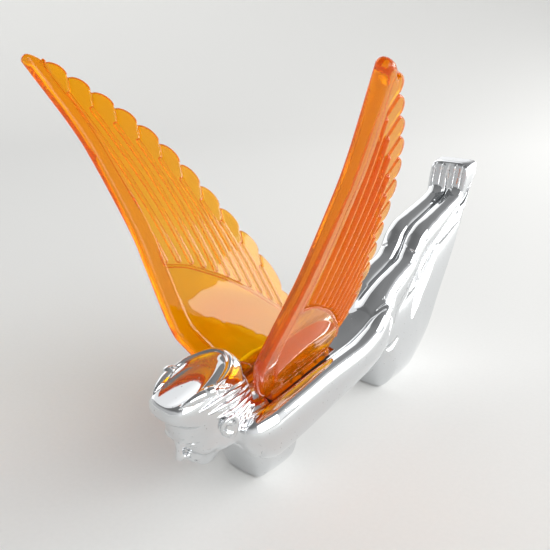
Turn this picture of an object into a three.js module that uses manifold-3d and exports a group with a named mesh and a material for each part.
// Hood ornament: a chrome-plated die-cast woman in flight with a pair of clear amber acrylic wings.
// Millimetres. +X is her left, -Y is the way she flies, +Z is up. She rests on a chest pad and a robe foot.
import * as THREE from 'three';
import { mergeVertices } from 'three/addons/utils/BufferGeometryUtils.js';
import Module from 'manifold-3d';

const wasm = await Module();
wasm.setup();

// Figure casting
const FIGURE_LENGTH = 245; // front of the hair to the soles of the feet
const SHOULDER_WIDTH = 49;
const FEET_HEIGHT = 117; // table to the top of the heels
const BACK_HEIGHT = 41; // table to the back, between the shoulders
const HEAD_HEIGHT = 40; // chin to crown, without the hair
const HEAD_NOD = 28; // degrees that the head looks down
const HEAD_CENTRE_HEIGHT = 42;
const ARM_THICKNESS = 13;
const ARM_DEPTH = 21;
const MOUNT_HOLE_DIAMETER = 6;
const MOUNT_HOLE_DEPTH = 18;

// Wings
const WING_HEIGHT = 161; // foot to tip, measured in the plane of the wing
const WING_CHORD = 91; // tip to the rearmost edge, measured in the plane of the wing
const WING_SPLAY = 27.7; // degrees that each wing leans out from upright
const WING_TOE = 3.4; // degrees that the rear edge turns in
const PANEL_THICKNESS = 2.4;
const BEAD_DIAMETER = 6;
const TIP_THICKNESS = 5;
const ROOT_THICKNESS = 5.4;
const RIB_WIDTH = 1.9;
const RIB_HEIGHT = 1;
const LOBE_COUNT = 11;
const LOBE_DEPTH = 1.9;

// Wing seats and fixings
const SEAT_SPREAD = 16.8; // between the middles of the two seats
const SEAT_LENGTH = 42;
const SEAT_WIDTH = 10;
const SEAT_RISE = 8.5; // degrees that the seats climb towards the waist
const SEAT_DEPTH = 1; // below the back
const SEAT_WALL = 4.5; // metal between a seat and the belly pocket
const FOOT_HEIGHT = 4;
const GASKET_THICKNESS = 1;
const BOSS_DIAMETER = 9;
const BOSS_PITCH = 18;
const INSERT_DIAMETER = 5.6;
const INSERT_LENGTH = 4.6;
const SCREW_DIAMETER = 3.5;
const SCREW_HEAD_DIAMETER = 6.8;
const SCREW_HEAD_HEIGHT = 2.4;
const WASHER_DIAMETER = 12;
const WASHER_THICKNESS = 0.8;
const POCKET_MARGIN = 1; // round the washers
const GAP = 0.3; // between pieces that touch

const AXIS_X = new THREE.Vector3(1, 0, 0);

/** A place along the figure, from 0 at the front of the hair to 1 at the soles. */
const along = (share) => (share - 0.5) * FIGURE_LENGTH;
const heelward = (share) => share * FEET_HEIGHT;
const halfShoulder = SHOULDER_WIDTH / 2;

// ---------------------------------------------------------------- solids

function toSolid(geometry) {
  const bare = geometry.clone();
  bare.deleteAttribute('normal');
  bare.deleteAttribute('uv');
  const merged = mergeVertices(bare, 1e-4);
  return new wasm.Manifold(new wasm.Mesh({
    numProp: 3,
    vertProperties: new Float32Array(merged.attributes.position.array),
    triVerts: new Uint32Array(merged.index.array),
  }));
}

function toGeometry(solid) {
  const mesh = solid.getMesh();
  const geometry = new THREE.BufferGeometry();
  geometry.setAttribute('position', new THREE.BufferAttribute(new Float32Array(mesh.vertProperties), 3));
  geometry.setIndex(new THREE.BufferAttribute(new Uint32Array(mesh.triVerts), 1));
  geometry.computeVertexNormals();
  return geometry;
}

const join = (geometries) => geometries.map(toSolid).reduce((sum, solid) => sum.add(solid));

/** Skins a row of rings, each listed from +X towards +Z, that follow each other along +Y. */
function loft(rings) {
  const count = rings[0].length;
  const points = rings.flat();
  const faces = [];
  for (let i = 0; i + 1 < rings.length; i += 1) {
    for (let j = 0; j < count; j += 1) {
      const here = i * count + j;
      const next = i * count + ((j + 1) % count);
      faces.push(here, here + count, next, next, here + count, next + count);
    }
  }
  const last = (rings.length - 1) * count;
  for (let j = 1; j + 1 < count; j += 1) {
    faces.push(0, j, j + 1);
    faces.push(last, last + j + 1, last + j);
  }
  const geometry = new THREE.BufferGeometry();
  const flat = points.flatMap((point) => point.toArray());
  geometry.setAttribute('position', new THREE.Float32BufferAttribute(flat, 3));
  geometry.setIndex(faces);
  return geometry;
}

/** A rounded box outline across Y: power 2 is an ellipse, more is squarer. */
function ring(x, y, z, halfWidth, halfHeight, power, count) {
  const points = [];
  for (let j = 0; j < count; j += 1) {
    const angle = (2 * Math.PI * j) / count;
    const cos = Math.cos(angle);
    const sin = Math.sin(angle);
    points.push(new THREE.Vector3(
      x + halfWidth * Math.sign(cos) * Math.abs(cos) ** (2 / power),
      y,
      z + halfHeight * Math.sign(sin) * Math.abs(sin) ** (2 / power),
    ));
  }
  return points;
}

/** Rings through stations [y, bottom, top, half width, squareness], with `steps` rings to a stretch. */
function stationRings(stations, x, count, steps) {
  const rings = [];
  const add = ([y, bottom, top, half, power]) => {
    rings.push(ring(x(y), y, (top + bottom) / 2, half, (top - bottom) / 2, power, count));
  };
  for (let i = 0; i + 1 < stations.length; i += 1) {
    const around = [-1, 0, 1, 2].map((k) => stations[THREE.MathUtils.clamp(i + k, 0, stations.length - 1)]);
    for (let k = 0; k < steps; k += 1) {
      add(stations[0].map((_, field) => blend(around, field, k / steps)));
    }
  }
  add(stations[stations.length - 1]);
  return rings;
}

/** Monotone cubic between the middle two of four stations. */
function blend(around, field, share) {
  const [y0, y1, y2, y3] = around.map((station) => station[0]);
  const [v0, v1, v2, v3] = around.map((station) => station[field]);
  const span = y2 - y1;
  const slope = (v2 - v1) / span;
  const before = y1 > y0 ? (v1 - v0) / (y1 - y0) : slope;
  const after = y3 > y2 ? (v3 - v2) / (y3 - y2) : slope;
  const start = before * slope > 0 ? 2 / (1 / before + 1 / slope) : 0;
  const end = after * slope > 0 ? 2 / (1 / after + 1 / slope) : 0;
  const t2 = share * share;
  const t3 = t2 * share;
  return (2 * t3 - 3 * t2 + 1) * v1 + (t3 - 2 * t2 + share) * span * start
    + (3 * t2 - 2 * t3) * v2 + (t3 - t2) * span * end;
}

function ball(centre, radii, turn = new THREE.Matrix4()) {
  const geometry = new THREE.SphereGeometry(1, 20, 12);
  geometry.scale(...radii);
  geometry.applyMatrix4(turn);
  geometry.translate(centre.x, centre.y, centre.z);
  return geometry;
}

/** A cylinder that stands on z = bottom. */
function post(diameter, bottom, top, x = 0, y = 0, sides = 18) {
  const geometry = new THREE.CylinderGeometry(diameter / 2, diameter / 2, top - bottom, sides);
  geometry.rotateX(Math.PI / 2);
  geometry.translate(x, y, (bottom + top) / 2);
  return geometry;
}

/** A box given by its lowest and highest corners. */
function block(low, high) {
  const geometry = new THREE.BoxGeometry(...high.map((value, k) => value - low[k]));
  geometry.translate(...high.map((value, k) => (value + low[k]) / 2));
  return geometry;
}

function prism(shape, low, high) {
  const geometry = new THREE.ExtrudeGeometry(shape, { depth: high - low, bevelEnabled: false, curveSegments: 5 });
  geometry.translate(0, 0, low);
  return geometry;
}

/** The same solid on her right: x turned over and the faces turned back out. */
function mirrored(geometry) {
  const copy = geometry.clone();
  copy.scale(-1, 1, 1);
  const index = copy.index.array;
  for (let i = 0; i < index.length; i += 3) {
    [index[i + 1], index[i + 2]] = [index[i + 2], index[i + 1]];
  }
  copy.computeVertexNormals();
  return copy;
}

// ---------------------------------------------------------------- figure

const groundCut = FIGURE_LENGTH;
const torsoStations = [
  [along(0.132), 30, BACK_HEIGHT - 4, 9, 2],
  [along(0.152), 19, BACK_HEIGHT - 1.5, halfShoulder * 0.6, 2.4],
  [along(0.176), 7, BACK_HEIGHT - 0.6, halfShoulder * 0.7, 2.8],
  [along(0.194), -2, BACK_HEIGHT - 0.2, halfShoulder * 0.74, 3],
  [along(0.24), -2, BACK_HEIGHT, halfShoulder * 0.74, 3],
  [along(0.257), -2, BACK_HEIGHT, halfShoulder * 0.74, 3],
  [along(0.264), 8, BACK_HEIGHT, halfShoulder * 0.75, 3],
  [along(0.27), 19, BACK_HEIGHT, halfShoulder * 0.76, 3],
  [along(0.32), 21, BACK_HEIGHT + 1.5, halfShoulder * 0.84, 2.8],
  [along(0.38), 24, BACK_HEIGHT + 3, halfShoulder * 0.82, 2.6],
  [along(0.445), 27, BACK_HEIGHT + 5.5, halfShoulder * 0.74, 2.4],
  [along(0.5), 28, BACK_HEIGHT + 10, halfShoulder * 0.72, 2.4],
  [along(0.56), 28.5, BACK_HEIGHT + 17, halfShoulder * 0.76, 2.6],
  [along(0.59), 14, heelward(0.53), halfShoulder * 0.76, 3],
  [along(0.622), -2, heelward(0.56), halfShoulder * 0.76, 3.4],
  [along(0.66), -2, heelward(0.585), halfShoulder * 0.76, 3.4],
  [along(0.705), -2, heelward(0.615), halfShoulder * 0.72, 3.4],
  [along(0.74), 0, heelward(0.7), halfShoulder * 0.68, 3.4],
  [along(0.79), 8, heelward(0.76), halfShoulder * 0.64, 3.4],
  [along(0.865), 37, heelward(0.815), halfShoulder * 0.6, 3.4],
  [along(0.94), 72, heelward(0.86), halfShoulder * 0.55, 3.6],
  [along(0.962), heelward(0.8), heelward(0.9), halfShoulder * 0.53, 3.8],
  [along(0.985), heelward(0.9), heelward(0.985), halfShoulder * 0.52, 4],
  [along(1), heelward(0.955), heelward(1), halfShoulder * 0.52, 4],
];

const armStations = [
  [along(0.135), 26, BACK_HEIGHT - 4, ARM_THICKNESS * 0.3, 2.2],
  [along(0.155), 22, BACK_HEIGHT - 2, ARM_THICKNESS * 0.42, 2.2],
  [along(0.2), 38 - ARM_DEPTH, BACK_HEIGHT - 0.5, ARM_THICKNESS / 2, 2.2],
  [along(0.32), 42.5 - ARM_DEPTH, BACK_HEIGHT + 3.5, ARM_THICKNESS / 2, 2.2],
  [along(0.44), 47.5 - ARM_DEPTH, BACK_HEIGHT + 5.5, ARM_THICKNESS * 0.47, 2.2],
  [along(0.5), 29, BACK_HEIGHT + 9, ARM_THICKNESS * 0.42, 2.2],
  [along(0.545), 33, BACK_HEIGHT + 16, ARM_THICKNESS * 0.36, 2.2],
  [along(0.57), 42, BACK_HEIGHT + 17, ARM_THICKNESS * 0.25, 2.2],
];

/** Head axes: `face` points out of the face, `crown` through the top of the head. */
const nod = THREE.MathUtils.degToRad(HEAD_NOD);
const headTurn = new THREE.Matrix4().makeRotationX(nod);
const headCentre = new THREE.Vector3(0, along(0.105), HEAD_CENTRE_HEIGHT);
const headUnit = HEAD_HEIGHT / 40;

function headBall(forward, up, halfWidth, halfDepth, halfHeight) {
  const centre = new THREE.Vector3(0, -forward, up).multiplyScalar(headUnit).applyMatrix4(headTurn).add(headCentre);
  return ball(centre, [halfWidth, halfDepth, halfHeight].map((radius) => radius * headUnit), headTurn);
}

const head = join([
  headBall(0, 2, 15.5, 18.5, 17.5), // skull under the hair
  headBall(8.5, -8.5, 11, 9.5, 12.5), // plain face
  headBall(11, 13, 13, 8.8, 7.8), // wave over the brow
  headBall(-11, 13, 12, 6.5, 7.5), // rolled crest
  headBall(-8, -6, 11, 10, 12), // hair at the nape
]);
const neckStations = [
  [along(0.1), HEAD_CENTRE_HEIGHT - 14, HEAD_CENTRE_HEIGHT + 2, 8, 2],
  [along(0.15), 24, BACK_HEIGHT - 1, 9.5, 2],
];
const neck = loft(stationRings(neckStations, () => 0, 16, 1));

/** The seat frames: origin on the cast face, +Y up the slope towards the waist, +Z out of the face. */
const seatPlace = (side) => new THREE.Matrix4()
  .makeRotationAxis(AXIS_X, THREE.MathUtils.degToRad(SEAT_RISE))
  .setPosition((side * SEAT_SPREAD) / 2, along(0.298), BACK_HEIGHT - SEAT_DEPTH);
const bossPlaces = [0.5 * (SEAT_LENGTH - BOSS_DIAMETER) - BOSS_PITCH, 0.5 * (SEAT_LENGTH - BOSS_DIAMETER)];

const seated = (geometry, side) => geometry.clone().applyMatrix4(seatPlace(side));

const pocketHalfWidth = SEAT_SPREAD / 2 + WASHER_DIAMETER / 2 + POCKET_MARGIN;
const pocketReach = WASHER_DIAMETER / 2 + POCKET_MARGIN;
const pocket = block(
  [-pocketHalfWidth - SEAT_SPREAD / 2, bossPlaces[0] - pocketReach, -BACK_HEIGHT],
  [pocketHalfWidth - SEAT_SPREAD / 2, bossPlaces[1] + pocketReach, -SEAT_WALL],
);

/** How far an arm draws in from the widest part of the shoulders. */
function shoulderTaper(y) {
  const forward = Math.max(0, along(0.19) - y);
  const back = Math.max(0, y - along(0.32));
  return forward * 0.55 + back * 0.03;
}

function makeFigure() {
  const armX = (side) => (y) => side * (halfShoulder - ARM_THICKNESS / 2 - shoulderTaper(y));
  let body = join([
    loft(stationRings(torsoStations, () => 0, 26, 2)),
    loft(stationRings(armStations, armX(1), 14, 2)),
    loft(stationRings(armStations, armX(-1), 14, 2)),
    neck,
  ]).add(head);
  const cuts = [
    block([-groundCut, -groundCut, -groundCut], [groundCut, groundCut, 0]),
    seated(pocket, 1),
    post(MOUNT_HOLE_DIAMETER, -1, MOUNT_HOLE_DEPTH, 0, along(0.228)),
    post(MOUNT_HOLE_DIAMETER, -1, MOUNT_HOLE_DEPTH, 0, along(0.66)),
  ];
  for (const side of [1, -1]) {
    const half = SEAT_WIDTH / 2 + GAP;
    const reach = SEAT_LENGTH / 2 + GAP;
    cuts.push(seated(block([-half, -reach, 0], [half, reach, BACK_HEIGHT]), side));
    for (const y of bossPlaces) {
      cuts.push(seated(post(BOSS_DIAMETER + 2 * GAP, -SEAT_WALL - 1, 1, 0, y), side));
    }
  }
  for (const cut of cuts) {
    body = body.subtract(toSolid(cut));
  }
  return toGeometry(body.subtract(wingClearance(1)).subtract(wingClearance(-1)));
}

/** The room above a seat that the root of its wing leans through. */
function wingClearance(side) {
  const half = Math.max(BEAD_DIAMETER, ROOT_THICKNESS) / 2 + GAP;
  const slab = block([-0.45 * WING_CHORD, -0.1 * WING_HEIGHT, -half], [rearCorner.x + GAP * 2, 0.3 * WING_HEIGHT, half]);
  const above = block([-WING_HEIGHT, -WING_HEIGHT, GASKET_THICKNESS + GAP], [WING_HEIGHT, WING_HEIGHT, WING_HEIGHT]);
  const left = toGeometry(toSolid(slab.applyMatrix4(wingPlace())).intersect(toSolid(seated(above, 1))));
  return toSolid(side > 0 ? left : mirrored(left));
}

// ---------------------------------------------------------------- wings

/** The left wing's frame: +X to the rear, +Y up, +Z out of the outer face; origin over the middle of the seat. */
function wingPlace() {
  const splay = THREE.MathUtils.degToRad(WING_SPLAY);
  const toe = THREE.MathUtils.degToRad(WING_TOE);
  const up = new THREE.Vector3(Math.sin(splay), 0, Math.cos(splay));
  const rear = new THREE.Vector3(-Math.sin(toe) * Math.cos(splay), Math.cos(toe), Math.sin(toe) * Math.sin(splay));
  const out = new THREE.Vector3().crossVectors(rear, up);
  const lean = (FOOT_HEIGHT / 2) * Math.tan(splay);
  return new THREE.Matrix4()
    .makeBasis(rear, up, out)
    .setPosition(SEAT_SPREAD / 2 - lean - 1, along(0.298), BACK_HEIGHT - SEAT_DEPTH - GASKET_THICKNESS);
}

/** A place on the wing: shares of the chord behind the seat's middle and of the height above the foot. */
const spot = (chord, height) => new THREE.Vector2(chord * WING_CHORD, height * WING_HEIGHT);

const tipFront = spot(-0.69, 0.977);
const tipTop = spot(-0.68, 1);
const tipRear = spot(-0.64, 0.992);
const leadingEdge = [
  spot(-0.577, 0.796), spot(-0.532, 0.685), spot(-0.484, 0.497), spot(-0.477, 0.39), spot(-0.47, 0.224),
  spot(-0.434, 0.156), spot(-0.32, 0.048),
];
const rootFront = spot(-0.2, 0);
const rootRear = spot(0.253, 0.025);
const rearCorner = spot(0.305, 0.18);
const lobeEnd = spot(0.275, 0.199);
const valleyCurve = new THREE.SplineCurve([
  spot(-0.592, 0.967), spot(-0.42, 0.879), spot(-0.244, 0.78), spot(-0.078, 0.648), spot(0.137, 0.422),
  spot(0.214, 0.329),
]);

/** Valleys between the feather tips, closer together towards the tip of the wing. */
const valleys = Array.from({ length: LOBE_COUNT }, (_, i) => {
  const share = i / (LOBE_COUNT - 1);
  return valleyCurve.getPointAt(0.8 * share + 0.2 * share * share);
});

const leadingCurve = new THREE.SplineCurve([rootFront, ...[...leadingEdge].reverse(), tipFront]);

function lobe(shape, from, to) {
  const chord = to.clone().sub(from);
  const out = new THREE.Vector2(chord.y, -chord.x).normalize();
  const near = from.clone().addScaledVector(chord, 0.12).addScaledVector(out, LOBE_DEPTH * 1.3);
  const far = from.clone().addScaledVector(chord, 0.75).addScaledVector(out, LOBE_DEPTH * 1.5);
  shape.bezierCurveTo(near.x, near.y, far.x, far.y, to.x, to.y);
}

function wingOutline() {
  const shape = new THREE.Shape();
  const front = leadingCurve.getPoints(26);
  shape.moveTo(rootRear.x, rootRear.y);
  shape.lineTo(rearCorner.x, rearCorner.y);
  shape.lineTo(lobeEnd.x, lobeEnd.y);
  let from = lobeEnd;
  for (const valley of [...valleys].reverse()) {
    lobe(shape, from, valley);
    from = valley;
  }
  shape.bezierCurveTo(tipRear.x, tipRear.y, tipTop.x, tipTop.y, tipFront.x, tipFront.y);
  for (const point of front.reverse().slice(1)) {
    shape.lineTo(point.x, point.y);
  }
  shape.closePath();
  return shape;
}

/** The line between the smooth root panel and the ribbed field. */
const panelArc = new THREE.SplineCurve([
  spot(-0.45, 0.388), spot(-0.297, 0.37), spot(-0.19, 0.342), spot(0, 0.27), spot(0.2, 0.16), spot(0.262, 0.105),
]);

function rootOutline() {
  const low = leadingCurve.getPoints(26).filter((point) => point.y < spot(0, 0.385).y);
  return new THREE.Shape([rootRear, ...panelArc.getPoints(14).reverse(), ...low.reverse()]);
}

function ribOutline(index) {
  const share = index / (LOBE_COUNT - 1);
  const foot = panelArc.getPointAt(0.1 + 0.82 * share).add(new THREE.Vector2(0, 0.016 * WING_HEIGHT));
  const inward = new THREE.Vector2(-0.02 * WING_CHORD, -0.045 * WING_HEIGHT);
  const top = valleys[index].clone().add(inward);
  const bend = new THREE.Vector2(foot.x * 0.75 + top.x * 0.25, (foot.y + top.y) / 2);
  const line = new THREE.QuadraticBezierCurve(foot, bend, top).getPoints(5);
  const left = [];
  const right = [];
  line.forEach((point, i) => {
    const ahead = line[Math.min(i + 1, line.length - 1)].clone().sub(line[Math.max(i - 1, 0)]).normalize();
    const across = new THREE.Vector2(ahead.y, -ahead.x).multiplyScalar(RIB_WIDTH / 2);
    left.push(point.clone().sub(across));
    right.push(point.clone().add(across));
  });
  const tip = line[line.length - 1].clone().addScaledVector(line[line.length - 1].clone().sub(line[line.length - 2])
    .normalize(), RIB_WIDTH / 2);
  return new THREE.Shape([...right, tip, ...left.reverse()]);
}

/** The thick rounded edge that leads the wing, closing on itself at both ends. */
function leadingBead() {
  const path = new THREE.CatmullRomCurve3(leadingCurve.getPoints(20)
    .map((point) => new THREE.Vector3(point.x + BEAD_DIAMETER / 2, point.y, 0)));
  const section = new THREE.Shape();
  section.absellipse(0, 0, BEAD_DIAMETER / 2, BEAD_DIAMETER / 2.6, 0, 2 * Math.PI);
  return new THREE.ExtrudeGeometry(section, { steps: 20, curveSegments: 5, extrudePath: path });
}

function makeWing() {
  const fromSeat = wingPlace().invert().multiply(seatPlace(1));
  const shelf = GASKET_THICKNESS + 2 * GAP;
  const inSeat = (geometry) => geometry.applyMatrix4(fromSeat);
  const blade = [
    prism(wingOutline(), -PANEL_THICKNESS / 2, PANEL_THICKNESS / 2),
    prism(rootOutline(), -ROOT_THICKNESS / 2, ROOT_THICKNESS / 2),
    leadingBead(),
  ];
  for (let index = 0; index < LOBE_COUNT; index += 1) {
    blade.push(prism(ribOutline(index), 0, PANEL_THICKNESS / 2 + RIB_HEIGHT));
  }
  const tip = [tipFront, tipFront.clone().lerp(tipTop, 0.6), tipRear, valleys[0], spot(-0.62, 0.9)];
  blade.push(prism(new THREE.Shape(tip.reverse()), -TIP_THICKNESS / 2, TIP_THICKNESS / 2));
  let wing = join(blade).subtract(toSolid(inSeat(block(
    [-SEAT_LENGTH, -WING_CHORD, -WING_HEIGHT], [SEAT_LENGTH, WING_CHORD, shelf],
  ))));
  const half = SEAT_WIDTH / 2;
  const reach = SEAT_LENGTH / 2;
  wing = wing.add(toSolid(inSeat(block([-half, -reach, shelf], [half, reach, shelf + FOOT_HEIGHT]))));
  for (const y of bossPlaces) {
    const boss = post(BOSS_DIAMETER, GAP * 2 - SEAT_WALL, shelf + 1, 0, y);
    const bore = post(INSERT_DIAMETER + 2 * GAP, -SEAT_WALL, GAP * 3 - SEAT_WALL + INSERT_LENGTH, 0, y);
    wing = wing.add(toSolid(inSeat(boss))).subtract(toSolid(inSeat(bore)));
  }
  const placed = toGeometry(wing);
  placed.applyMatrix4(wingPlace());
  return placed;
}

// ---------------------------------------------------------------- fixings, in the seat frame

function makeGasket() {
  const half = SEAT_WIDTH / 2;
  const reach = SEAT_LENGTH / 2;
  let gasket = toSolid(block([-half, -reach, GAP], [half, reach, GAP + GASKET_THICKNESS]));
  for (const y of bossPlaces) {
    gasket = gasket.subtract(toSolid(post(BOSS_DIAMETER + 2 * GAP, -1, GASKET_THICKNESS + 2, 0, y)));
  }
  return toGeometry(gasket);
}

/** A lathed piece whose outline is listed as [radius, height] pairs. */
function turned(outline, sides = 18) {
  const profile = outline.map(([radius, height]) => new THREE.Vector2(radius, height));
  const geometry = new THREE.LatheGeometry(profile, sides);
  geometry.rotateX(Math.PI / 2);
  return toGeometry(toSolid(geometry));
}

const washerTop = -SEAT_WALL - GAP;
const washerBottom = washerTop - WASHER_THICKNESS;
const headTop = washerBottom - GAP;
const insertBottom = GAP * 2 - SEAT_WALL;

function makeWasher() {
  const inner = SCREW_DIAMETER / 2 + GAP;
  const outer = WASHER_DIAMETER / 2;
  return turned([[inner, washerBottom], [outer, washerBottom], [outer, washerTop], [inner, washerTop],
    [inner, washerBottom]]);
}

function makeInsert() {
  const inner = SCREW_DIAMETER / 2 + GAP;
  const outer = INSERT_DIAMETER / 2;
  const top = insertBottom + INSERT_LENGTH;
  return turned([[inner, insertBottom], [outer, insertBottom], [outer, top], [inner, top], [inner, insertBottom]]);
}

function makeScrew() {
  const shank = SCREW_DIAMETER / 2;
  const head = SCREW_HEAD_DIAMETER / 2;
  const crown = headTop - SCREW_HEAD_HEIGHT;
  const end = insertBottom + INSERT_LENGTH - GAP;
  return turned([[0, crown], [head * 0.7, crown], [head, crown + SCREW_HEAD_HEIGHT * 0.45], [head, headTop],
    [shank, headTop], [shank, end - 0.6], [shank * 0.6, end], [0, end]]);
}

// ---------------------------------------------------------------- materials

const chrome = new THREE.MeshStandardMaterial({ color: '#d6d8d9', metalness: 1, roughness: 0.06 });
const amber = new THREE.MeshStandardMaterial({
  color: '#f59a12', metalness: 0, roughness: 0.08, transparent: true, opacity: 0.75,
});
const rubber = new THREE.MeshStandardMaterial({ color: '#262322', metalness: 0, roughness: 0.8 });
const zinc = new THREE.MeshStandardMaterial({ color: '#a7a9a6', metalness: 1, roughness: 0.4 });
const brass = new THREE.MeshStandardMaterial({ color: '#c19a4e', metalness: 1, roughness: 0.35 });

// ---------------------------------------------------------------- assembly

function named(name, geometry, material) {
  const mesh = new THREE.Mesh(geometry, material);
  mesh.name = name;
  return mesh;
}

function placeIn(frame, mesh) {
  mesh.applyMatrix4(frame);
  return mesh;
}

const ornament = new THREE.Group();
ornament.add(named('figure_casting', makeFigure(), chrome));

const leftWing = makeWing();
ornament.add(named('wing_left', leftWing, amber));
ornament.add(named('wing_right', mirrored(leftWing), amber));

const gasket = makeGasket();
const fixings = [['insert', makeInsert(), brass], ['washer', makeWasher(), zinc], ['screw', makeScrew(), zinc]];
for (const [hand, side] of [['left', 1], ['right', -1]]) {
  ornament.add(placeIn(seatPlace(side), named(`wing_gasket_${hand}`, gasket, rubber)));
  bossPlaces.forEach((y, i) => {
    const spotOnSeat = seatPlace(side).multiply(new THREE.Matrix4().makeTranslation(0, y, 0));
    for (const [kind, geometry, material] of fixings) {
      ornament.add(placeIn(spotOnSeat, named(`wing_${kind}_${hand}_${['front', 'rear'][i]}`, geometry, material)));
    }
  });
}

// The origin is under the middle of the whole ornament, on the surface that it stands on.
const object = new THREE.Group();
const middle = new THREE.Box3().setFromObject(ornament, true).getCenter(new THREE.Vector3());
ornament.position.y = -middle.y;
object.add(ornament);

export default object;
